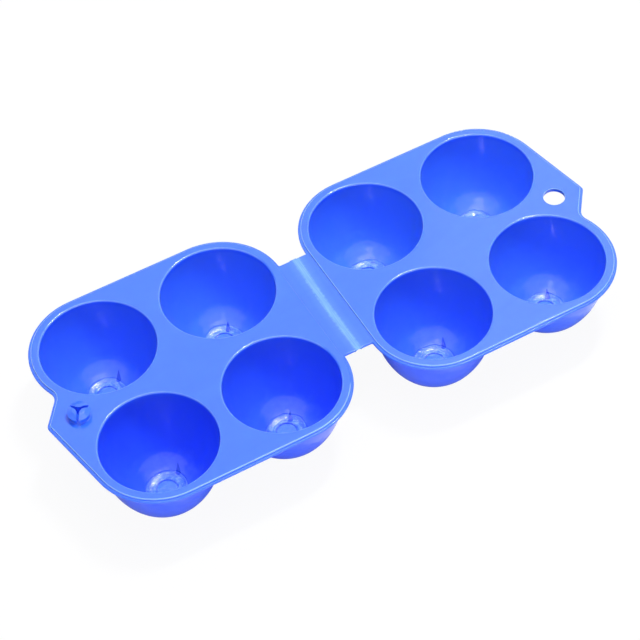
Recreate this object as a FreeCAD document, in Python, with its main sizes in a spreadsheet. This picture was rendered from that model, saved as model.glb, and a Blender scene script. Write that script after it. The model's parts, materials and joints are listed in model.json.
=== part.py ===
import FreeCAD, Part
import Sketcher
import math
import os

# A hinged carrier for four eggs, moulded in one shot and modelled lying open flat.
# Millimetres, +Z up. X runs from the base tray to the lid tray, Y along the hinge.
# The origin is under the middle of the hinge, on the plane that the cups stand on.

# Driving sizes
sizes = {
    # cups
    "mouth_diameter": 47.0,
    "cup_depth": 31.2,
    "flat_radius": 11.4,
    "dimple_radius": 4.1,
    "dimple_depth": 0.4,
    "wall": 1.2,
    # plate, in two layers that leave a ledge round the tray
    "land_along": 6.6,
    "land_across": 7.3,
    "rim_width": 4.5,
    "upper_layer": 0.8,
    "lower_layer": 1.2,
    "ledge_width": 1.1,
    # finger tab
    "tip_reach": 3.15,
    "tip_shift": 0.9,
    "tip_radius": 2.75,
    "tab_angle": 53.0,
    "notch_radius": 5.0,
    # web and living hinge
    "web_length": 12.7,
    "film_width": 3.0,
    "film_thickness": 0.4,
    "groove_shoulder": 0.3,
    "closing_gap": 0.24,
    # snap
    "snap_inset": 7.2,
    "hole_diameter": 9.0,
    "neck_clearance": 0.3,
    "barb_overhang": 0.45,
    "barb_clearance": 0.12,
    "barb_land": 0.3,
    "head_height": 1.5,
    "head_radius": 2.6,
    "slot_width": 1.1,
    "stud_bore_radius": 1.1,
    # roundings
    "rim_round": 0.7,
    "edge_round": 0.48,
    "hole_round": 0.3,
    "corner_round": 0.6,
    "root_round": 1.0,
    "flat_blend": 0.8,
    "stud_root_round": 0.35,
}

TINY = 1e-3
PRONGS = 3

document = FreeCAD.newDocument("egg_carrier")
sheet = document.addObject("Spreadsheet::Sheet", "Sizes")
for row, (alias, number) in enumerate(sizes.items(), start=1):
    sheet.set(f"A{row}", alias)
    sheet.set(f"B{row}", str(number))
    sheet.setAlias(f"B{row}", alias)
document.recompute()

# Worked-out sizes, as expressions of the driving ones
MOUTH_RADIUS = "Sizes.mouth_diameter / 2"
EGG_LENGTH = f"(Sizes.cup_depth / sqrt(1 - (Sizes.flat_radius / ({MOUTH_RADIUS}))^2))"
EGG_END_RADIUS = f"(({MOUTH_RADIUS})^2 / {EGG_LENGTH})"
FLAT_ROUND = f"(Sizes.flat_blend * {EGG_END_RADIUS})"
FOOT_ROUND = f"({FLAT_ROUND} + Sizes.wall)"
CUP_X = "(Sizes.mouth_diameter + Sizes.land_along) / 2"
CUP_Y = "(Sizes.mouth_diameter + Sizes.land_across) / 2"
CORNER_RADIUS = f"({MOUTH_RADIUS} + Sizes.rim_width)"
PLATE_SIDE = f"({CUP_X} + {CORNER_RADIUS})"
TRAY_OFFSET = f"({PLATE_SIDE} + Sizes.web_length / 2)"
PLATE = "(Sizes.upper_layer + Sizes.lower_layer)"
PLATE_TOP = "(Sizes.cup_depth + Sizes.wall)"
SNAP_X = f"({PLATE_SIDE} - Sizes.snap_inset)"
NECK_RADIUS = "(Sizes.hole_diameter / 2 - Sizes.neck_clearance)"
BARB_RADIUS = f"({NECK_RADIUS} + Sizes.barb_overhang)"
BARB_HEIGHT = f"({PLATE} + Sizes.closing_gap + Sizes.barb_clearance)"


def value(expression):
    return float(sheet.evalExpression(expression))


def make_body(label):
    body = document.addObject("PartDesign::Body", label)
    body.Label = label
    return body


def origin_feature(body, role):
    return next(f for f in body.Origin.OriginFeatures if f.Role == role)


def make_sketch(body, name, plane, **offset):
    """An empty sketch on one of the body's planes, shifted by expressions x, y, z in its own axes."""
    sketch = body.newObject("Sketcher::SketchObject", name)
    sketch.AttachmentSupport = [(origin_feature(body, plane), "")]
    sketch.MapMode = "FlatFace"
    for axis, expression in offset.items():
        sketch.setExpression(f"AttachmentOffset.Base.{axis}", expression)
    return sketch


def size(sketch, kind, *where, by):
    """Adds a dimension to the sketch and binds it to an expression."""
    now = value(by)
    number = math.radians(now) if kind == "Angle" else now
    index = sketch.addConstraint(Sketcher.Constraint(kind, *where, number))
    sketch.setExpression(f"Constraints[{index}]", by)


def vector(x, y):
    return FreeCAD.Vector(x, y, 0)


def arc(centre, radius, start, end):
    circle = Part.Circle(centre, FreeCAD.Vector(0, 0, 1), radius)
    return Part.ArcOfCircle(circle, start, end)


def add_polygon(sketch, points):
    """Closed polygon of lines through the points, joined end to end. Returns its line numbers."""
    count = len(points)
    lines = [
        sketch.addGeometry(Part.LineSegment(points[i], points[(i + 1) % count]))
        for i in range(count)
    ]
    for i, line in enumerate(lines):
        sketch.addConstraint(Sketcher.Constraint("Coincident", line, 2, lines[(i + 1) % count], 1))
    return lines


def circle_sketch(body, name, radius, **offset):
    """A sketch of one circle about its own origin."""
    sketch = make_sketch(body, name, "XY_Plane", **offset)
    ring = sketch.addGeometry(Part.Circle(vector(0, 0), FreeCAD.Vector(0, 0, 1), value(radius)))
    sketch.addConstraint(Sketcher.Constraint("Coincident", ring, 3, -1, 1))
    size(sketch, "Radius", ring, by=radius)
    return sketch


def pocket(body, name, sketch, depth):
    feature = body.newObject("PartDesign::Pocket", name)
    feature.Profile = sketch
    feature.setExpression("Length", depth)
    return feature


def pad(body, name, sketch, length, down=False, middle=False):
    feature = body.newObject("PartDesign::Pad", name)
    feature.Profile = sketch
    feature.setExpression("Length", length)
    feature.Reversed = down
    feature.Midplane = middle
    return feature


def tray_outline(body, name, inset, level):
    """The tray's outline with its finger tab on the -X side, drawn inwards by an inset.

    Four corner arcs lie about the cups' middles. The one beside the tab runs on into a concave
    notch, from which a straight side climbs to the rounded tip. The tip's other side is the
    common tangent with the next corner.
    """
    sketch = make_sketch(body, name, "XY_Plane", z=level)
    corner = f"{CORNER_RADIUS} - {inset}"
    tip_x = f"({PLATE_SIDE} + Sizes.tip_reach)"
    tip_radius = f"Sizes.tip_radius - {inset}"
    notch_radius = f"Sizes.notch_radius + {inset}"

    x, y, r = value(CUP_X), value(CUP_Y), value(corner)
    tip, tip_r = vector(-value(tip_x), value("Sizes.tip_shift")), value(tip_radius)
    notch_r = value(notch_radius)
    climb = math.radians(value("Sizes.tab_angle"))
    along, outward = vector(math.cos(climb), math.sin(climb)), vector(-math.sin(climb), math.cos(climb))
    beside, below = vector(-x, y), vector(-x, -y)
    start = tip + outward * (tip_r + notch_r) - beside
    reach = -start.dot(along) - math.sqrt(start.dot(along) ** 2 - start.dot(start) + (r + notch_r) ** 2)
    notch = beside + start + along * reach
    to_notch = math.atan2(notch.y - beside.y, notch.x - beside.x) % (2 * math.pi)
    to_below = below - tip
    tangent = math.atan2(to_below.y, to_below.x) - math.asin((r - tip_r) / to_below.Length)
    side_normal = (tangent - math.pi / 2) % (2 * math.pi)
    side = vector(math.cos(side_normal), math.sin(side_normal))

    shapes = [
        Part.LineSegment(vector(x + r, -y), vector(x + r, y)),
        arc(vector(x, y), r, 0, math.pi / 2),
        Part.LineSegment(vector(x, y + r), vector(-x, y + r)),
        arc(beside, r, math.pi / 2, to_notch),
        arc(notch, notch_r, climb - math.pi / 2, to_notch - math.pi),
        Part.LineSegment(tip + outward * tip_r, notch - outward * notch_r),
        arc(tip, tip_r, climb + math.pi / 2, side_normal),
        Part.LineSegment(tip + side * tip_r, below + side * r),
        arc(below, r, side_normal, 1.5 * math.pi),
        Part.LineSegment(vector(-x, -y - r), vector(x, -y - r)),
        arc(vector(x, -y), r, 1.5 * math.pi, 2 * math.pi),
    ]
    loop = [sketch.addGeometry(shape) for shape in shapes]
    _, far_arc, _, beside_arc, notch_arc, climbing, tip_arc, _, below_arc, _, near_arc = loop
    backwards = (notch_arc, climbing)
    for first, second in zip(loop, loop[1:] + loop[:1]):
        leaves = 1 if first in backwards else 2
        enters = 2 if second in backwards else 1
        sketch.addConstraint(Sketcher.Constraint("Tangent", first, leaves, second, enters))
    for corner_arc, across, up in (
        (far_arc, CUP_X, CUP_Y),
        (beside_arc, f"-{CUP_X}", CUP_Y),
        (below_arc, f"-{CUP_X}", f"-{CUP_Y}"),
        (near_arc, CUP_X, f"-{CUP_Y}"),
    ):
        size(sketch, "DistanceX", -1, 1, corner_arc, 3, by=across)
        size(sketch, "DistanceY", -1, 1, corner_arc, 3, by=up)
        size(sketch, "Radius", corner_arc, by=corner)
    size(sketch, "DistanceX", tip_arc, 3, -1, 1, by=tip_x)
    size(sketch, "DistanceY", -1, 1, tip_arc, 3, by="Sizes.tip_shift")
    size(sketch, "Radius", tip_arc, by=tip_radius)
    size(sketch, "Radius", notch_arc, by=notch_radius)
    size(sketch, "Angle", climbing, by="Sizes.tab_angle")
    return sketch


def add_plate(body):
    """Both layers of the plate and this tray's half of the web, with their outer edges eased."""
    ledge_level = "-Sizes.upper_layer"
    lower = tray_outline(body, f"{body.Label}_lower_outline", "0", ledge_level)
    pad(body, f"{body.Label}_lower_plate", lower, "Sizes.lower_layer", down=True)
    upper = tray_outline(body, f"{body.Label}_upper_outline", "Sizes.ledge_width", "0")
    pad(body, f"{body.Label}_upper_plate", upper, "Sizes.upper_layer", down=True)

    web = make_sketch(body, f"{body.Label}_web_outline", "XY_Plane", z=ledge_level)
    web_end = f"({TRAY_OFFSET} - Sizes.film_width / 2)"
    x, end, y = value(CUP_X), value(web_end), value(CUP_Y)
    near, tip_side, far, inner = add_polygon(
        web, [vector(x, -y), vector(end, -y), vector(end, y), vector(x, y)]
    )
    web.addConstraint(Sketcher.Constraint("Horizontal", near))
    web.addConstraint(Sketcher.Constraint("Horizontal", far))
    web.addConstraint(Sketcher.Constraint("Vertical", tip_side))
    web.addConstraint(Sketcher.Constraint("Vertical", inner))
    size(web, "DistanceX", -1, 1, near, 1, by=CUP_X)
    size(web, "DistanceX", -1, 1, near, 2, by=web_end)
    size(web, "DistanceY", near, 1, -1, 1, by=CUP_Y)
    size(web, "DistanceY", -1, 1, far, 1, by=CUP_Y)
    pad(body, f"{body.Label}_web", web, "Sizes.lower_layer", down=True)
    document.recompute()

    top, ledge, under = 0, value(ledge_level), -value(PLATE)
    side, end = value(PLATE_SIDE), value(web_end)

    def is_inner_corner(edge):
        box = edge.BoundBox
        return box.ZLength > TINY and abs(box.XMin - side) < TINY and box.XLength < TINY

    def is_outer(edge):
        box = edge.BoundBox
        if box.ZLength > TINY or abs(box.XMin - end) < TINY:
            return False
        return abs(box.ZMin - top) < TINY or abs(box.ZMin - under) < TINY or (
            abs(box.ZMin - ledge) < TINY and not beside_upper_layer(body.Tip.Shape, edge)
        )

    round_edges(body, f"{body.Label}_rounded_corners", "Sizes.corner_round", is_inner_corner)
    round_edges(body, f"{body.Label}_eased_edges", "Sizes.edge_round", is_outer)


def beside_upper_layer(shape, edge):
    """Whether the edge is the foot of the upper layer's wall, which stays sharp."""
    middle = edge.valueAt((edge.FirstParameter + edge.LastParameter) / 2)
    above = middle + FreeCAD.Vector(0, 0, value("Sizes.upper_layer") / 2)
    return shape.distToShape(Part.Vertex(above))[0] < TINY


def round_edges(body, name, radius, wanted):
    """Rounds the edges of the body so far that a test picks."""
    base = body.Tip
    names = [f"Edge{i}" for i, edge in enumerate(base.Shape.Edges, start=1) if wanted(edge)]
    feature = body.newObject("PartDesign::Fillet", name)
    feature.Base = (base, names)
    feature.setExpression("Radius", radius)
    document.recompute()
    return feature


def is_ring(edge, radius, level):
    """Whether the edge is a level circle of this radius at this height."""
    box = edge.BoundBox
    is_level = box.ZLength < TINY and abs(box.ZMin - level) < TINY
    return is_level and abs(edge.Length - 2 * math.pi * radius) < TINY


def egg_profile(body, name, skin):
    """Half section of one cup about its own axis, grown outwards by a skin thickness."""
    sketch = make_sketch(body, name, "XZ_Plane", x=CUP_X, z=f"-{CUP_Y}")
    radius = f"({MOUTH_RADIUS} + {skin})"
    length = f"({EGG_LENGTH} + {skin})"
    floor = f"(Sizes.cup_depth + {skin})"
    a, b, depth = value(radius), value(length), value(floor)
    flat = a * math.sqrt(1 - (depth / b) ** 2)

    ellipse = Part.Ellipse(vector(0, -b), vector(a, 0), vector(0, 0))
    side = sketch.addGeometry(Part.ArcOfEllipse(ellipse, math.acos(depth / b), math.pi / 2))
    sketch.exposeInternalGeometry(side)
    long_axis, short_axis = side + 1, side + 2
    mouth = sketch.addGeometry(Part.LineSegment(vector(a, 0), vector(0, 0)))
    middle = sketch.addGeometry(Part.LineSegment(vector(0, 0), vector(0, -depth)))
    bottom = sketch.addGeometry(Part.LineSegment(vector(0, -depth), vector(flat, -depth)))
    for joint in (
        (side, 3, -1, 1),
        (side, 2, mouth, 1),
        (mouth, 2, middle, 1),
        (middle, 2, bottom, 1),
        (bottom, 2, side, 1),
        (mouth, 2, -1, 1),
    ):
        sketch.addConstraint(Sketcher.Constraint("Coincident", *joint))
    sketch.addConstraint(Sketcher.Constraint("Vertical", long_axis))
    sketch.addConstraint(Sketcher.Constraint("Horizontal", mouth))
    sketch.addConstraint(Sketcher.Constraint("Vertical", middle))
    sketch.addConstraint(Sketcher.Constraint("Horizontal", bottom))
    size(sketch, "Distance", long_axis, by=f"2 * {length}")
    size(sketch, "Distance", short_axis, by=f"2 * {radius}")
    size(sketch, "Distance", middle, by=floor)
    return sketch


def add_cups(body):
    """Four egg cups of even wall, hollow to the top, each with a flat foot and a dimple in it."""
    outer = body.newObject("PartDesign::Revolution", f"{body.Label}_cup")
    outer.Profile = egg_profile(body, f"{body.Label}_cup_section", "Sizes.wall")
    outer.ReferenceAxis = (outer.Profile[0], ["V_Axis"])
    inner = body.newObject("PartDesign::Groove", f"{body.Label}_hollow")
    inner.Profile = egg_profile(body, f"{body.Label}_hollow_section", "0")
    inner.ReferenceAxis = (inner.Profile[0], ["V_Axis"])
    place = {"x": CUP_X, "y": CUP_Y, "z": "-Sizes.cup_depth"}
    spot = circle_sketch(body, f"{body.Label}_dimple_outline", "Sizes.dimple_radius", **place)
    dimple = pocket(body, f"{body.Label}_dimple", spot, "Sizes.dimple_depth")

    grid = document.addObject("PartDesign::MultiTransform", f"{body.Label}_cup_grid")
    grid.Originals = [outer, inner, dimple]
    mirrors = []
    for role in ("YZ_Plane", "XZ_Plane"):
        mirror = document.addObject("PartDesign::Mirrored", f"{body.Label}_{role}_mirror")
        mirror.MirrorPlane = (origin_feature(body, role), [""])
        mirrors.append(mirror)
    grid.Transformations = mirrors
    body.addObject(grid)
    body.Tip = grid
    document.recompute()

    mouth, skin, depth = value(MOUTH_RADIUS), value("Sizes.wall"), value("Sizes.cup_depth")
    length, under = value(EGG_LENGTH), value(PLATE)

    def width(a, b, level):
        return a * math.sqrt(1 - (level / b) ** 2)

    root = width(mouth + skin, length + skin, under)
    foot = width(mouth + skin, length + skin, depth + skin)
    flat = value("Sizes.flat_radius")
    for name, radius, ring_radius, level in (
        ("mouths", "Sizes.rim_round", mouth, 0),
        ("roots", "Sizes.root_round", root, -under),
        ("feet", FOOT_ROUND, foot, -depth - skin),
        ("flats", FLAT_ROUND, flat, -depth),
    ):
        round_edges(
            body,
            f"{body.Label}_rounded_{name}",
            radius,
            lambda edge: is_ring(edge, ring_radius, level),
        )


def add_snap_hole(body):
    """The round hole in the tab, with its edges eased on both faces."""
    radius = "Sizes.hole_diameter / 2"
    outline = circle_sketch(body, f"{body.Label}_hole_outline", radius, x=f"-{SNAP_X}")
    pocket(body, f"{body.Label}_hole", outline, PLATE)
    document.recompute()
    levels = (0, -value(PLATE))
    round_edges(
        body,
        f"{body.Label}_eased_hole",
        "Sizes.hole_round",
        lambda edge: any(is_ring(edge, value(radius), level) for level in levels),
    )


def add_snap_stud(body):
    """The stud that snaps through the other tray's hole: a neck, a barb and three springy prongs."""
    head_top = f"({BARB_HEIGHT} + Sizes.head_height)"
    section = make_sketch(body, f"{body.Label}_stud_section", "XZ_Plane", x=f"-{SNAP_X}")
    corners = [
        ("0", "0"),
        (NECK_RADIUS, "0"),
        (NECK_RADIUS, BARB_HEIGHT),
        (BARB_RADIUS, BARB_HEIGHT),
        (BARB_RADIUS, f"({BARB_HEIGHT} + Sizes.barb_land)"),
        ("Sizes.head_radius", head_top),
        ("0", head_top),
    ]
    lines = add_polygon(section, [vector(value(x), value(z)) for x, z in corners])
    section.addConstraint(Sketcher.Constraint("Coincident", lines[0], 1, -1, 1))
    for line, (x, z) in list(zip(lines, corners))[1:]:
        if x == "0":
            section.addConstraint(Sketcher.Constraint("PointOnObject", line, 1, -2))
        else:
            size(section, "DistanceX", -1, 1, line, 1, by=x)
        if z == "0":
            section.addConstraint(Sketcher.Constraint("PointOnObject", line, 1, -1))
        else:
            size(section, "DistanceY", -1, 1, line, 1, by=z)
    stud = body.newObject("PartDesign::Revolution", f"{body.Label}_stud")
    stud.Profile = section
    stud.ReferenceAxis = (section, ["V_Axis"])
    document.recompute()

    neck, top = value(NECK_RADIUS), value(head_top)
    round_edges(
        body,
        f"{body.Label}_stud_root",
        "Sizes.stud_root_round",
        lambda edge: is_ring(edge, neck, 0),
    )
    round_edges(
        body,
        f"{body.Label}_stud_crown",
        "Sizes.rim_round",
        lambda edge: is_ring(edge, value("Sizes.head_radius"), top),
    )

    crown = {"x": f"-{SNAP_X}", "z": head_top}
    bore = circle_sketch(body, f"{body.Label}_bore_outline", "Sizes.stud_bore_radius", **crown)
    pocket(body, f"{body.Label}_stud_bore", bore, head_top)

    cut = make_sketch(body, f"{body.Label}_slot_outline", "XY_Plane", **crown)
    reach = f"({BARB_RADIUS} + Sizes.slot_width)"
    half, far = value("Sizes.slot_width / 2"), value(reach)
    near_side, end, far_side, start = add_polygon(
        cut, [vector(0, -half), vector(far, -half), vector(far, half), vector(0, half)]
    )
    cut.addConstraint(Sketcher.Constraint("Horizontal", near_side))
    cut.addConstraint(Sketcher.Constraint("Horizontal", far_side))
    cut.addConstraint(Sketcher.Constraint("Vertical", end))
    cut.addConstraint(Sketcher.Constraint("Symmetric", start, 1, start, 2, -1, 1))
    size(cut, "DistanceX", -1, 1, near_side, 2, by=reach)
    size(cut, "Distance", start, by="Sizes.slot_width")
    slot = pocket(body, f"{body.Label}_slot", cut, head_top)
    document.recompute()
    slots = body.newObject("PartDesign::PolarPattern", f"{body.Label}_slots")
    slots.Originals = [slot]
    slots.Axis = (cut, ["N_Axis"])
    slots.Angle = 360
    slots.Occurrences = PRONGS
    body.Tip = slots


def make_tray(label, add_snap):
    """One tray about its own middle, its top face on the body's XY plane."""
    body = make_body(label)
    add_plate(body)
    add_cups(body)
    add_snap(body)
    body.setExpression("Placement.Base.z", PLATE_TOP)
    return body


def make_hinge():
    """The thin film across the web: level with the web on top, with a round-bottomed groove under it."""
    body = make_body("living_hinge")
    sketch = make_sketch(body, "hinge_section", "XZ_Plane")
    half, top, under = value("Sizes.film_width / 2"), -value("Sizes.upper_layer"), -value(PLATE)
    half_groove = "(Sizes.film_width / 2 - Sizes.groove_shoulder)"
    groove_depth = "(Sizes.lower_layer - Sizes.film_thickness)"
    groove_radius = f"({half_groove}^2 + {groove_depth}^2) / (2 * {groove_depth})"
    mouth, depth, radius = value(half_groove), value(groove_depth), value(groove_radius)
    spread = math.asin(mouth / radius) if depth < mouth else math.pi - math.asin(mouth / radius)
    upper = sketch.addGeometry(Part.LineSegment(vector(-half, top), vector(half, top)))
    right = sketch.addGeometry(Part.LineSegment(vector(half, top), vector(half, under)))
    right_land = sketch.addGeometry(Part.LineSegment(vector(half, under), vector(mouth, under)))
    centre = vector(0, under + depth - radius)
    groove = sketch.addGeometry(arc(centre, radius, math.pi / 2 - spread, math.pi / 2 + spread))
    left_land = sketch.addGeometry(Part.LineSegment(vector(-mouth, under), vector(-half, under)))
    left = sketch.addGeometry(Part.LineSegment(vector(-half, under), vector(-half, top)))
    ring = [upper, right, right_land, groove, left_land, left]
    for line, following in zip(ring, ring[1:] + ring[:1]):
        sketch.addConstraint(Sketcher.Constraint("Coincident", line, 2, following, 1))
    for line in (right, left):
        sketch.addConstraint(Sketcher.Constraint("Vertical", line))
    for line in (right_land, left_land):
        sketch.addConstraint(Sketcher.Constraint("Horizontal", line))
    sketch.addConstraint(Sketcher.Constraint("Symmetric", upper, 1, upper, 2, -2))
    sketch.addConstraint(Sketcher.Constraint("PointOnObject", groove, 3, -2))
    size(sketch, "Distance", upper, by="Sizes.film_width")
    size(sketch, "DistanceY", upper, 1, -1, 1, by="Sizes.upper_layer")
    size(sketch, "Distance", right, by="Sizes.lower_layer")
    size(sketch, "Distance", left, by="Sizes.lower_layer")
    size(sketch, "Distance", right_land, by="Sizes.groove_shoulder")
    size(sketch, "Radius", groove, by=groove_radius)
    pad(body, "hinge_film", sketch, f"2 * {CUP_Y}", middle=True)
    body.setExpression("Placement.Base.z", PLATE_TOP)
    return body


base_tray = make_tray("base_tray", add_snap_stud)
base_tray.setExpression("Placement.Base.x", f"-{TRAY_OFFSET}")
lid_tray = make_tray("lid_tray", add_snap_hole)
lid_tray.Placement.Rotation = FreeCAD.Rotation(FreeCAD.Vector(0, 0, 1), 180)
lid_tray.setExpression("Placement.Base.x", TRAY_OFFSET)
living_hinge = make_hinge()
document.recompute()

for thing in document.Objects:
    if "Invalid" in thing.State or "Error" in thing.State:
        raise RuntimeError(f"{thing.Label} failed: {thing.State}")

os.makedirs("parts", exist_ok=True)
for body in (base_tray, lid_tray, living_hinge):
    shape = body.Shape
    if shape.isNull() or not shape.isValid() or len(shape.Solids) != 1:
        raise RuntimeError(f"{body.Label} is not one valid solid")
    shape.exportStep(f"parts/{body.Label}.step")
    print(body.Label, round(shape.Volume), "mm3", shape.BoundBox)
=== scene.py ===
import json
import math

import bmesh
import bpy
from mathutils import Matrix, Vector


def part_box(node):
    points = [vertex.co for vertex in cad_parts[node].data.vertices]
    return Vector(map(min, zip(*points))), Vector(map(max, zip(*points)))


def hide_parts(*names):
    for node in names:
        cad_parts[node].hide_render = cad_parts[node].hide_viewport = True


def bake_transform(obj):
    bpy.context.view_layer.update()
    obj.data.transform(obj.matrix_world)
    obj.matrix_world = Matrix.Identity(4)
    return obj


# Looks for a four-egg carrier moulded in one shot of blue polypropylene, lying open flat.
# The frame is in metres: X runs from the base tray to the lid tray, Y along the hinge, +Z up.

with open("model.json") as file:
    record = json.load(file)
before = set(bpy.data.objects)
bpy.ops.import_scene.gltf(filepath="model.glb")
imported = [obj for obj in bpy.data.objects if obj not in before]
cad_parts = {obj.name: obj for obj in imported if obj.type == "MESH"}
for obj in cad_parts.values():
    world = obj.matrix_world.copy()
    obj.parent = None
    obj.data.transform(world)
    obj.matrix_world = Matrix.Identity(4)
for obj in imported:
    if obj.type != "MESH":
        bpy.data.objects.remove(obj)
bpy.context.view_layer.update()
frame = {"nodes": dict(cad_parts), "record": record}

MM = 0.001


def opening_middle(name):
    """Where the middle of one of the record's opening boxes is, along X and Y."""
    low, high = next(part["box_m"] for part in frame["record"]["physics"]["openings"] if part["name"] == name)
    return (low[0] + high[0]) / 2, (low[1] + high[1]) / 2


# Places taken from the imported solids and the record: the hinge, the plates and the cups
FILM_LOW, FILM_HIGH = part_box("living_hinge")
PLATE_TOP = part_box("lid_tray")[1].z
PLATE_MIDDLE = (0, 0, PLATE_TOP)
TRAY_MIDDLE = opening_middle("lid_middle")[0]
CUP_ALONG = opening_middle("lid_cup_outer_far_foot")[0] - TRAY_MIDDLE
CUP_ACROSS = opening_middle("lid_cup_outer_far_foot")[1]

# The living hinge's section, how finely its strip is divided, and the angle in degrees that stays sharp
FILM_THICKNESS = 0.4 * MM
GROOVE_SHOULDER = 0.3 * MM
FILM_COLUMNS = 28
FILM_ROWS = 60
SHARP_ANGLE = 30

# The photo's camera: its place, turn and lens, fitted to the eight rims
CAMERA_PLACE = (-0.24424, -0.50705, 0.70657)
CAMERA_TURN = (39.31, 2.938, -29.046)
CAMERA_LENS = 123.418
CAMERA_SENSOR = 36.0
CAMERA_NEAR = 0.01

# Lamps: name, place, width, height, power in watts, the point that it faces and its roll in degrees
LOW_MIDDLE = (0, 0, 0.02)
LAMPS = (
    ("key_strip", (0.48, 0.13, 1.40), 0.30, 0.08, 13.5, PLATE_MIDDLE, 90),
    ("overhead_softbox", (0.0, -0.08, 0.68), 0.5, 0.4, 1.55, PLATE_MIDDLE, 0),
    ("ceiling_softbox", (0.0, 0.0, 1.6), 0.8, 0.8, 1.2, PLATE_MIDDLE, 0),
    ("back_softbox", (0.20, 0.62, 0.90), 0.8, 0.5, 1.0, PLATE_MIDDLE, 0),
    ("side_glow", (0.58, 0.58, 0.90), 0.35, 0.5, 0.45, PLATE_MIDDLE, 0),
    ("front_fill", (-0.15, -0.9, 0.04), 0.8, 0.07, 3.0, LOW_MIDDLE, 0),
)
WORLD_LIGHT = 0.28
BACKDROP_LIGHT = 1.0

# The floor, which lies a little under the feet so that the two don't flicker together
FLOOR_SIDE = 6.0
FLOOR_HEIGHT = -0.05 * MM
FLOOR_WHITE = (0.92, 0.92, 0.92)
FLOOR_HAZE = (0.9062, 0.9062, 0.9062)
FLOOR_GLOW = 0.94
FLOOR_ROUGHNESS = 0.9

# Colours of the plastic, linear
SHELL_BLUE = (0.036, 0.170, 0.985)
SHELL_DEEP = (0.032, 0.158, 0.96)
WALL_DEEP = (0.034, 0.117, 1.0)
WALL_LIT = (0.068, 0.225, 1.0)
# Painted highlight: a pale blue laid on the edges, and on the ragged pale rings round the gates
PAINTED_HIGHLIGHT = (0.340, 0.570, 1.0)
# Painted light round the gates: a pale patch partly of whitening and partly painted reflection, painted light
# on the cups' floors, and a dark blue of painted shade and painted dark reflection
GATE_BLUSH_AND_SHEEN = (0.150, 0.270, 1.0)
GATE_PAINTED_LIGHT = (0.085, 0.290, 1.0)
PAINTED_SHADE = (0.001, 0.060, 0.62)
WHITENED = (0.190, 0.450, 0.97)

# Gloss of the plastic, and how far light goes into it
ROUGHNESS = (0.285, 0.34)
COAT_WEIGHT = 0.7
COAT_ROUGHNESS = 0.10
SPECULAR_LEVEL = 0.2
REFRACTION = 1.49
SCATTER_WEIGHT = 0.4
SCATTER_RADIUS = (0.08, 0.25, 1.0)
SCATTER_DEPTH = 4.0 * MM

# Grain of each noise, in cells to the metre
FLOW_GRAIN = (20, 70, 20)
POLISH_GRAIN = 70
RIPPLE_GRAIN = 120
BLUSH_SHEEN_GRAIN = 260
WANDER_GRAIN = 150
WRINKLE_GRAIN = 600
RING_GRAIN = 800
RAG_GRAIN = (90, 700, 90)
CREASE_GRAIN = (2600, 120, 100)
HAZE_GRAIN = 3

# The part of a noise's range that is used: the less, the harder the patches
NOISE_RANGE = (0.3, 0.7)
NOISE_WIDE = (0.25, 0.75)
NOISE_NARROW = (0.35, 0.65)

# How far up the skin faces where a cup's outside gives way to its inside
FACING_UP = (-0.05, 0.05)

# Light through the cups' walls: weights of X and Y, and the sums at which it starts and is full
LIT_SLOPE = (4.3, 12.0, 0)
LIT_START = -0.53
LIT_END = 0.47

# Depths below the plates' top: where the walls' colour starts and is full, and the band of the edges' painted
# highlight
WALL_START = 0.6 * MM
WALL_FULL = 3.0 * MM
EDGE_FOOT = (0.75 * MM, 0.5 * MM)
EDGE_BROW = (0.05 * MM, 0.01 * MM)

# Where the edges' painted highlight ends on the base's side of the hinge and starts on the lid's
EDGE_BASE = (-12.0 * MM, -11.0 * MM)
EDGE_LID = (0.0, 1.0 * MM)

# The painted highlight is weaker on the mouths' roundings than on the plates' rims, which are further from a
# cup's axis
MOUTH_EDGE = (24.0 * MM, 24.6 * MM)
MOUTH_HIGHLIGHT = 0.3
RIM_HIGHLIGHT = 0.75

# Relief round a cup's gate, by the distance from the cup's axis
DISH_START = 3.5 * MM
DISH_END = 13.0 * MM
DISH_HEIGHT = 2.0 * MM
LIP_RADIUS = 5.0 * MM
LIP_HALF = 0.55 * MM
LIP_HEIGHT = 0.10 * MM
CREASE_RADIUS = 8.1 * MM
CREASE_HALF = 0.5 * MM
CREASE_WANDER = 0.45 * MM
CREASE_DEPTH = 0.22 * MM
WRINKLE_BAND = (6.0 * MM, 11.5 * MM)
WRINKLE_HEIGHT = 0.27 * MM
NUB_BAND = (0.8 * MM, 1.2 * MM)
NUB_HEIGHT = 0.12 * MM
RIPPLE_HEIGHT = 0.035 * MM

# Colour round a cup's gate: a pale patch beside it that is partly whitening at the gate and partly painted
# reflection, painted light on the floor, a thin dark circle of painted shade, and ragged rings of painted
# highlight and painted shade
BLUSH_SHEEN_PLACE = (4.0 * MM, 2.0 * MM, 0.0)
BLUSH_SHEEN_BAND = (4.0 * MM, 12.0 * MM)
BLUSH_SHEEN_WANDER = 2.5 * MM
BLUSH_SHEEN_SHARE = 0.35
CUP_FLOOR_LIGHT_BAND = (5.0 * MM, 8.5 * MM)
CUP_FLOOR_LIGHT_SHARE = 0.5
RING_RADIUS = 4.2 * MM
RING_BAND = (0.1 * MM, 0.4 * MM)
RING_SHARE = 0.65
RING_TURN = (1.5 * MM, 1.5 * MM, 1.5 * MM)
RING_DRIFT = (0.25, 0.25, 0.25)
TORN_INNER = (3.2 * MM, 4.8 * MM)
TORN_OUTER = (6.8 * MM, 9.2 * MM)
TORN_WITHIN = 0.2
PALE_RANGE = (0.52, 0.64)
PALE_SHARE = 0.5
DARK_RANGE = (0.44, 0.34)
DARK_SHARE = 0.55

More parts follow.
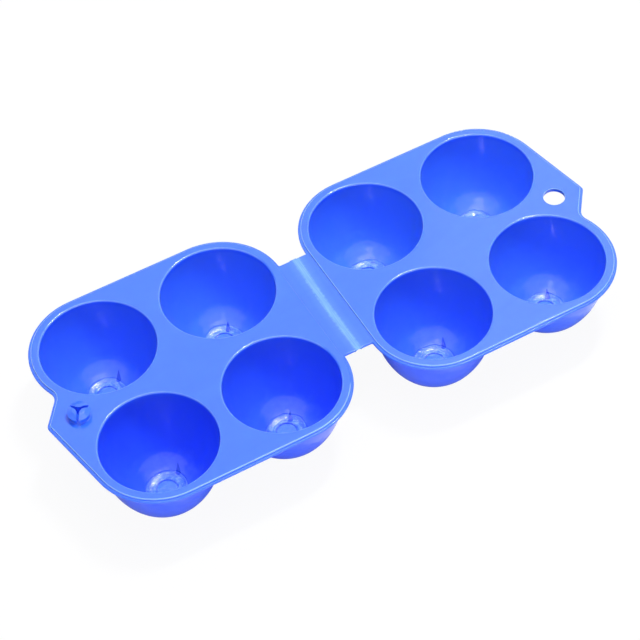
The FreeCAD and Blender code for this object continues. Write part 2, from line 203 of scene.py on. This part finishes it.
# The drop-shaped mark beside a gate, a shallow pit coloured with a painted dark reflection: a round head with
# a tail, which fades as both X and Y cross a band
DROP_PLACE = (5.4 * MM, 4.2 * MM, 0.0)
DROP_SHIFT = (1.5 * MM, 0.0, 0.0)
DROP_ALONG = (0.45, 0.89, 0.0)
DROP_ACROSS = (0.89, -0.45, 0.0)
DROP_HEAD = 1.15 * MM
DROP_TIP = 0.05 * MM
DROP_LENGTH = 4.4 * MM
DROP_MIDDLE = 2.1 * MM
DROP_EDGE = (0.7, 1.1)
DROP_DEPTH = 0.12 * MM
DROP_PAINTED_SHARE = 0.92
DROP_FADE = (0.0, 1.0 * MM)

# Whitening along the hinge: how far it leans at the far end, its ragged edge, its core and its halo
LEAN = 1.2 * MM
RAG = 0.5 * MM
CORE_BAND = (0.95 * MM, 2.05 * MM)
CORE_SHARE = 0.92
HALO_BAND = (0.5 * MM, 4.5 * MM)
HALO_SHARE = 0.22
CREASE_SHARE = (0.45, 1.0)

# Where a Mix node keeps its two colours and their mixture
MIX_FIRST = 6
MIX_SECOND = 7
MIX_RESULT = 2


def new_material(name):
    """An empty material with its tree, output and principled shader."""
    material = bpy.data.materials.new(name)
    material.use_nodes = True
    tree = material.node_tree
    tree.nodes.clear()
    output = tree.nodes.new("ShaderNodeOutputMaterial")
    shader = tree.nodes.new("ShaderNodeBsdfPrincipled")
    tree.links.new(shader.outputs["BSDF"], output.inputs["Surface"])
    return material, tree, shader


def add_node(tree, kind, links=None, **settings):
    """A node with its settings, and its inputs linked to other nodes' outputs or set to values."""
    node = tree.nodes.new(kind)
    for name, setting in settings.items():
        setattr(node, name, setting)
    for name, source in (links or {}).items():
        socket = node.inputs[name]
        if isinstance(source, bpy.types.NodeSocket):
            tree.links.new(source, socket)
        else:
            socket.default_value = source
    return node


def arithmetic(tree, operation, *sources):
    """A number worked out from one or two others, each a plain number or a socket."""
    return add_node(tree, "ShaderNodeMath", dict(enumerate(sources)), operation=operation).outputs[0]


def product(tree, first, *others):
    for other in others:
        first = arithmetic(tree, "MULTIPLY", first, other)
    return first


def apart(tree, value, middle):
    """How far a value is from a middle, either way."""
    return arithmetic(tree, "ABSOLUTE", arithmetic(tree, "SUBTRACT", value, middle))


def vector_math(tree, operation, *sources):
    """A vector worked out from one or two others, each a triple or a socket."""
    node = add_node(tree, "ShaderNodeVectorMath", dict(enumerate(sources)), operation=operation)
    return node.outputs["Vector"]


def vector_value(tree, operation, *sources):
    """A number worked out from one or two vectors."""
    node = add_node(tree, "ShaderNodeVectorMath", dict(enumerate(sources)), operation=operation)
    return node.outputs["Value"]


def body_place(tree):
    """A point's own coordinates in metres."""
    return add_node(tree, "ShaderNodeTexCoord").outputs["Object"]


def coordinate(tree, vector, axis):
    return add_node(tree, "ShaderNodeSeparateXYZ", {"Vector": vector}).outputs[axis]


def stretched(tree, scale):
    """A point's coordinates, each scaled by one of a triple."""
    return add_node(tree, "ShaderNodeMapping", {"Vector": body_place(tree), "Scale": scale}).outputs[0]


def noise(tree, vector, scale, detail=3.0, roughness=0.5, distortion=0.0):
    """Smooth grain between 0 and 1, with a number of cells to the unit of the vector."""
    links = {
        "Vector": vector,
        "Scale": scale,
        "Detail": detail,
        "Roughness": roughness,
        "Distortion": distortion,
    }
    return add_node(tree, "ShaderNodeTexNoise", links).outputs["Fac"]


def ramped(tree, source, band, start, end, curve="LINEAR"):
    """A value that goes from start to end while the source crosses a band, and is held on both sides."""
    links = {"Value": source, "From Min": band[0], "From Max": band[1], "To Min": start, "To Max": end}
    return add_node(tree, "ShaderNodeMapRange", links, interpolation_type=curve).outputs["Result"]


def mix_colour(tree, factor, first, second):
    """Mixes two colours, each a triple or a socket, by a factor."""
    node = add_node(tree, "ShaderNodeMix", {0: factor}, data_type="RGBA")
    for index, colour in ((MIX_FIRST, first), (MIX_SECOND, second)):
        if isinstance(colour, bpy.types.NodeSocket):
            tree.links.new(colour, node.inputs[index])
        else:
            node.inputs[index].default_value = (*colour, 1.0)
    return node.outputs[MIX_RESULT]


def from_cup(tree):
    """How far a point is from the nearest cup's axis along X and Y, and the cup's corner of its tray."""
    place = body_place(tree)
    for middle in ((TRAY_MIDDLE, 0, 0), (CUP_ALONG, CUP_ACROSS, 0)):
        side = vector_math(tree, "SIGN", place)
        place = vector_math(tree, "SUBTRACT", place, vector_math(tree, "MULTIPLY", side, middle))
    return vector_math(tree, "MULTIPLY", place, (1, 1, 0)), side


def cup_inside(tree):
    """1 on the skin that faces up out of the cups, 0 on their outsides."""
    facing = add_node(tree, "ShaderNodeTexCoord").outputs["Normal"]
    return ramped(tree, coordinate(tree, facing, "Z"), FACING_UP, 0.0, 1.0)


def drop_mark(tree, offset, corner):
    """1 in the drop-shaped mark beside a cup's gate, whose tail points away from the gate: a shallow pit in
    the bump, and a painted dark reflection in the colour.

    The lid's two far cups have none.
    """
    place = body_place(tree)
    nearest = arithmetic(tree, "MINIMUM", coordinate(tree, place, "X"), coordinate(tree, place, "Y"))
    marked = ramped(tree, nearest, DROP_FADE, 1.0, 0.0)
    shift = vector_math(tree, "MULTIPLY", corner, DROP_SHIFT)
    away = vector_math(tree, "ADD", vector_math(tree, "SUBTRACT", offset, DROP_PLACE), shift)
    along = vector_value(tree, "DOT_PRODUCT", away, DROP_ALONG)
    across = vector_value(tree, "DOT_PRODUCT", away, DROP_ACROSS)
    head = arithmetic(tree, "DIVIDE", vector_value(tree, "LENGTH", away), DROP_HEAD)
    width = ramped(tree, along, (0.0, DROP_LENGTH), DROP_HEAD, DROP_TIP)
    beside = arithmetic(tree, "DIVIDE", arithmetic(tree, "ABSOLUTE", across), width)
    beyond = arithmetic(tree, "DIVIDE", apart(tree, along, DROP_MIDDLE), DROP_MIDDLE)
    tail = arithmetic(tree, "MAXIMUM", beside, beyond)
    mark = ramped(tree, arithmetic(tree, "MINIMUM", head, tail), DROP_EDGE, 1.0, 0.0, "SMOOTHSTEP")
    return product(tree, mark, marked)


def whitening(tree):
    """How far bending has whitened the plastic: a ragged stripe along the hinge that leans at its far end."""
    place = body_place(tree)
    lean = ramped(tree, coordinate(tree, place, "Y"), (0.0, FILM_HIGH.y), 0.0, LEAN)
    away = apart(tree, coordinate(tree, place, "X"), lean)
    ragged = noise(tree, stretched(tree, RAG_GRAIN), 1.0, detail=6, roughness=0.75)
    edge = arithmetic(tree, "ADD", away, ramped(tree, ragged, NOISE_WIDE, -RAG, RAG))
    core = ramped(tree, edge, CORE_BAND, CORE_SHARE, 0.0)
    halo = ramped(tree, edge, HALO_BAND, HALO_SHARE, 0.0)
    creases = noise(tree, stretched(tree, CREASE_GRAIN), 1.0, roughness=0.6)
    streaked = product(tree, core, ramped(tree, creases, NOISE_RANGE, *CREASE_SHARE))
    return arithmetic(tree, "MAXIMUM", streaked, halo)


def lit_through(tree):
    """How much light comes through a cup's thin wall: more towards the far side and the lid."""
    share = vector_value(tree, "DOT_PRODUCT", body_place(tree), LIT_SLOPE)
    return ramped(tree, share, (LIT_START, LIT_END), 0.0, 1.0)


def below_plate(tree):
    """1 on the cups' walls, 0 on the plates."""
    height = coordinate(tree, body_place(tree), "Z")
    return ramped(tree, height, (PLATE_TOP - WALL_FULL, PLATE_TOP - WALL_START), 1.0, 0.0)


def painted_edge_highlight(tree):
    """1 on the upright rims of the plates' upper layer and on the mouths' roundings, which get a painted
    highlight.

    The base's half of the web has none.
    """
    place = body_place(tree)
    height = coordinate(tree, place, "Z")
    side = coordinate(tree, place, "X")
    foot = ramped(tree, height, [PLATE_TOP - drop for drop in EDGE_FOOT], 0.0, 1.0)
    brow = ramped(tree, height, [PLATE_TOP - drop for drop in EDGE_BROW], 1.0, 0.0)
    base_side = ramped(tree, side, EDGE_BASE, 1.0, 0.0)
    lid_side = ramped(tree, side, EDGE_LID, 0.0, 1.0)
    return product(tree, foot, brow, arithmetic(tree, "MAXIMUM", base_side, lid_side))


def torn_rings(tree, offset, radius):
    """Ragged rings about a cup's gate, which differ from cup to cup."""
    turn = vector_math(tree, "MULTIPLY", vector_math(tree, "NORMALIZE", offset), RING_TURN)
    spot = vector_math(tree, "ADD", turn, stretched(tree, RING_DRIFT))
    rise = add_node(tree, "ShaderNodeCombineXYZ", {"Z": radius}).outputs[0]
    spot = vector_math(tree, "ADD", spot, rise)
    return noise(tree, spot, RING_GRAIN, roughness=0.6, distortion=0.4)


def gate_relief(tree, radius, drop, inside):
    """Height of the skin about a cup's foot, in metres.

    Inside are a dish with a lip, a crease and wrinkles in it, and the drop's pit. Outside is the gate's nub.
    """
    body = stretched(tree, (1, 1, 1))
    uneven = noise(tree, body, WANDER_GRAIN, detail=2)
    wander = ramped(tree, uneven, NOISE_RANGE, -CREASE_WANDER, CREASE_WANDER)
    bent = arithmetic(tree, "ADD", radius, wander)
    from_lip = apart(tree, radius, LIP_RADIUS)
    from_crease = apart(tree, bent, CREASE_RADIUS)
    height = ramped(tree, radius, (DISH_START, DISH_END), -DISH_HEIGHT, 0.0, "SMOOTHSTEP")
    lip = ramped(tree, from_lip, (0.0, LIP_HALF), LIP_HEIGHT, 0.0, "SMOOTHSTEP")
    crease = ramped(tree, from_crease, (0.0, CREASE_HALF), -CREASE_DEPTH, 0.0, "SMOOTHSTEP")
    wrinkled = ramped(tree, radius, WRINKLE_BAND, WRINKLE_HEIGHT, 0.0, "SMOOTHSTEP")
    torn = product(tree, noise(tree, body, WRINKLE_GRAIN, roughness=0.55, distortion=0.9), wrinkled)
    pit = product(tree, drop, -DROP_DEPTH)
    for part in (lip, crease, torn, pit):
        height = arithmetic(tree, "ADD", height, part)
    nub = ramped(tree, radius, NUB_BAND, NUB_HEIGHT, 0.0, "SMOOTHSTEP")
    outside = arithmetic(tree, "SUBTRACT", 1.0, inside)
    return arithmetic(tree, "ADD", product(tree, height, inside), product(tree, nub, outside))


def gate_colour(tree, blue, offset, radius, drop, inside):
    """A colour with painted light round a cup's gate laid over it: a pale patch, partly whitening and partly
    painted reflection, painted light on the floor, a thin dark circle of painted shade, ragged rings of
    painted highlight and painted shade, and the drop's painted dark reflection.
    """
    # A pale patch beside the gate, partly whitening at the gate and partly painted reflection
    patchy = noise(tree, stretched(tree, (1, 1, 1)), BLUSH_SHEEN_GRAIN, roughness=0.6)
    beside_gate = vector_value(tree, "LENGTH", vector_math(tree, "SUBTRACT", offset, BLUSH_SHEEN_PLACE))
    wander = ramped(tree, patchy, NOISE_RANGE, -BLUSH_SHEEN_WANDER, BLUSH_SHEEN_WANDER)
    blush_and_sheen = ramped(tree, arithmetic(tree, "ADD", beside_gate, wander), BLUSH_SHEEN_BAND, BLUSH_SHEEN_SHARE, 0.0)
    # Painted light on the cup's floor round the gate
    painted_floor_light = ramped(tree, radius, CUP_FLOOR_LIGHT_BAND, CUP_FLOOR_LIGHT_SHARE, 0.0)
    # A thin dark circle of painted shade round the dimple's edge
    ring = product(tree, ramped(tree, apart(tree, radius, RING_RADIUS), RING_BAND, RING_SHARE, 0.0), inside)
    torn = torn_rings(tree, offset, radius)
    outer = ramped(tree, radius, TORN_OUTER, 1.0, 0.0)
    inner = ramped(tree, radius, TORN_INNER, TORN_WITHIN, 1.0)
    near = product(tree, outer, inside, inner)
    # Ragged pale rings of painted highlight and dark rings of painted shade
    pale = product(tree, ramped(tree, torn, PALE_RANGE, 0.0, PALE_SHARE), near)
    dark = product(tree, ramped(tree, torn, DARK_RANGE, 0.0, DARK_SHARE), near)
    layers = (
        (blush_and_sheen, GATE_BLUSH_AND_SHEEN),
        (painted_floor_light, GATE_PAINTED_LIGHT),
        (ring, PAINTED_SHADE),
        (pale, PAINTED_HIGHLIGHT),
        (dark, PAINTED_SHADE),
        # Painted dark reflection in the drop
        (product(tree, drop, DROP_PAINTED_SHARE), PAINTED_SHADE),
    )
    for share, colour in layers:
        blue = mix_colour(tree, share, blue, colour)
    return blue


def plastic_material(name):
    """Glossy blue polypropylene with faint flow marks, a painted highlight on its edges, relief with painted
    light, shade and reflection round each gate, and a whitened hinge.
    """
    material, tree, shader = new_material(name)
    body = stretched(tree, (1, 1, 1))
    offset, corner = from_cup(tree)
    radius = vector_value(tree, "LENGTH", offset)
    inside = cup_inside(tree)
    drop = product(tree, drop_mark(tree, offset, corner), inside)

    flow = noise(tree, stretched(tree, FLOW_GRAIN), 1.0, detail=4, roughness=0.6, distortion=0.8)
    plate = mix_colour(tree, ramped(tree, flow, NOISE_NARROW, 0.0, 1.0), SHELL_DEEP, SHELL_BLUE)
    wall = mix_colour(tree, lit_through(tree), WALL_DEEP, WALL_LIT)
    blue = mix_colour(tree, below_plate(tree), plate, wall)
    # Painted highlight on the plates' rims and the mouths' roundings
    edge = product(tree, painted_edge_highlight(tree), ramped(tree, radius, MOUTH_EDGE, MOUTH_HIGHLIGHT, RIM_HIGHLIGHT))
    blue = mix_colour(tree, edge, blue, PAINTED_HIGHLIGHT)
    blue = gate_colour(tree, blue, offset, radius, drop, inside)
    blue = mix_colour(tree, whitening(tree), blue, WHITENED)
    tree.links.new(blue, shader.inputs["Base Color"])

    polish = noise(tree, body, POLISH_GRAIN, detail=4, roughness=0.6)
    tree.links.new(ramped(tree, polish, NOISE_RANGE, *ROUGHNESS), shader.inputs["Roughness"])

    ripple = product(tree, noise(tree, body, RIPPLE_GRAIN, detail=2), RIPPLE_HEIGHT)
    height = arithmetic(tree, "ADD", gate_relief(tree, radius, drop, inside), ripple)
    bump = add_node(tree, "ShaderNodeBump", {"Height": height, "Strength": 1.0, "Distance": 1.0})
    tree.links.new(bump.outputs["Normal"], shader.inputs["Normal"])
    tree.links.new(bump.outputs["Normal"], shader.inputs["Coat Normal"])
    shader.inputs["IOR"].default_value = REFRACTION
    shader.inputs["Specular IOR Level"].default_value = SPECULAR_LEVEL
    shader.inputs["Coat Weight"].default_value = COAT_WEIGHT
    shader.inputs["Coat Roughness"].default_value = COAT_ROUGHNESS
    shader.inputs["Subsurface Weight"].default_value = SCATTER_WEIGHT
    shader.inputs["Subsurface Radius"].default_value = SCATTER_RADIUS
    shader.inputs["Subsurface Scale"].default_value = SCATTER_DEPTH
    return material


def floor_material():
    """Near-white floor that the camera sees a little brighter, so that it meets the backdrop."""
    material, tree, shader = new_material("pale_floor")
    haze = noise(tree, stretched(tree, (1, 1, 1)), HAZE_GRAIN, detail=2)
    tree.links.new(mix_colour(tree, haze, FLOOR_WHITE, FLOOR_HAZE), shader.inputs["Base Color"])
    shader.inputs["Roughness"].default_value = FLOOR_ROUGHNESS
    shader.inputs["Specular IOR Level"].default_value = 0.0
    seen = add_node(tree, "ShaderNodeLightPath").outputs["Is Camera Ray"]
    glow = add_node(tree, "ShaderNodeEmission", {"Color": (1, 1, 1, 1), "Strength": 1.0})
    sources = {0: product(tree, seen, FLOOR_GLOW), 1: shader.outputs["BSDF"], 2: glow.outputs["Emission"]}
    blend = add_node(tree, "ShaderNodeMixShader", sources)
    output = next(node for node in tree.nodes if node.type == "OUTPUT_MATERIAL")
    tree.links.new(blend.outputs["Shader"], output.inputs["Surface"])
    return material


def seen_rays(tree):
    """1 for camera, glossy and transmission rays, else 0."""
    path = add_node(tree, "ShaderNodeLightPath")
    seen = arithmetic(tree, "MAXIMUM", path.outputs["Is Camera Ray"], path.outputs["Is Glossy Ray"])
    return arithmetic(tree, "MAXIMUM", seen, path.outputs["Is Transmission Ray"])


def film_section(half):
    """The film's outline across the hinge: level above, grooved below in an arc between two shoulders."""
    mouth = half - GROOVE_SHOULDER
    depth = FILM_HIGH.z - FILM_LOW.z - FILM_THICKNESS
    radius = (mouth**2 + depth**2) / (2 * depth)
    spread = math.asin(mouth / radius)
    section = [(half * (2 * i / FILM_COLUMNS - 1), FILM_HIGH.z) for i in range(FILM_COLUMNS + 1)]
    section.append((half, FILM_LOW.z))
    for i in range(FILM_COLUMNS + 1):
        turn = math.pi / 2 - spread + 2 * spread * i / FILM_COLUMNS
        section.append((radius * math.cos(turn), FILM_LOW.z + depth - radius * (1 - math.sin(turn))))
    section.append((-half, FILM_LOW.z))
    return section


def make_film(material):
    """The living hinge as a fine strip."""
    middle = (FILM_LOW + FILM_HIGH) / 2
    half = (FILM_HIGH.x - FILM_LOW.x) / 2
    section = film_section(half)

    bm = bmesh.new()
    rings = []
    for row in range(FILM_ROWS + 1):
        y = FILM_LOW.y + (FILM_HIGH.y - FILM_LOW.y) * row / FILM_ROWS
        rings.append([bm.verts.new((middle.x + x, y, z)) for x, z in section])
    for first, second in zip(rings, rings[1:]):
        for i in range(len(section)):
            j = (i + 1) % len(section)
            bm.faces.new((first[i], first[j], second[j], second[i]))
    bm.faces.new(rings[0])
    bm.faces.new(rings[-1])
    bmesh.ops.recalc_face_normals(bm, faces=bm.faces)
    mesh = bpy.data.meshes.new("hinge_film")
    bm.to_mesh(mesh)
    bm.free()
    mesh.shade_smooth()
    mesh.set_sharp_from_angle(angle=math.radians(SHARP_ANGLE))
    mesh.materials.append(material)
    film = bpy.data.objects.new("hinge_film", mesh)
    bpy.context.scene.collection.objects.link(film)
    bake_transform(film)
    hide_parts("living_hinge")


def make_floor(material):
    bpy.ops.mesh.primitive_plane_add(size=FLOOR_SIDE)
    floor = bpy.context.object
    floor.location.z = FLOOR_HEIGHT
    floor.name = "floor"
    floor.data.materials.append(material)


def make_camera():
    data = bpy.data.cameras.new("photo_camera")
    data.lens = CAMERA_LENS
    data.sensor_width = CAMERA_SENSOR
    data.clip_start = CAMERA_NEAR
    camera = bpy.data.objects.new("photo_camera", data)
    camera.location = CAMERA_PLACE
    camera.rotation_euler = [math.radians(turn) for turn in CAMERA_TURN]
    bpy.context.scene.collection.objects.link(camera)
    bpy.context.scene.camera = camera


def make_softbox(name, place, width, height, power, aim, roll):
    """A rectangular lamp that faces a point, rolled about its own axis by an angle in degrees."""
    data = bpy.data.lights.new(name, "AREA")
    data.shape = "RECTANGLE"
    data.size = width
    data.size_y = height
    data.energy = power
    lamp = bpy.data.objects.new(name, data)
    lamp.location = place
    direction = Vector(aim) - Vector(place)
    facing = direction.to_track_quat("-Z", "Y").to_matrix().to_4x4()
    lamp.rotation_euler = (facing @ Matrix.Rotation(math.radians(roll), 4, "Z")).to_euler()
    bpy.context.scene.collection.objects.link(lamp)


def make_world():
    """Soft even light. What the camera and reflections see of it is a white backdrop."""
    world = bpy.data.worlds.new("studio")
    world.use_nodes = True
    tree = world.node_tree
    tree.nodes.clear()
    output = tree.nodes.new("ShaderNodeOutputWorld")
    light = add_node(tree, "ShaderNodeBackground", {"Color": (1, 1, 1, 1), "Strength": WORLD_LIGHT})
    backdrop = add_node(tree, "ShaderNodeBackground", {"Color": (1, 1, 1, 1), "Strength": BACKDROP_LIGHT})
    sources = {0: seen_rays(tree), 1: light.outputs[0], 2: backdrop.outputs[0]}
    blend = add_node(tree, "ShaderNodeMixShader", sources)
    tree.links.new(blend.outputs[0], output.inputs["Surface"])
    bpy.context.scene.world = world


make_camera()
make_world()
shell = plastic_material("blue_polypropylene")
for node in ("base_tray", "lid_tray"):
    for place in frame["nodes"][node].material_slots:
        place.material = shell
make_film(plastic_material("hinge_polypropylene"))
make_floor(floor_material())
for lamp in LAMPS:
    make_softbox(*lamp)

bpy.context.scene.view_settings.view_transform = "Standard"
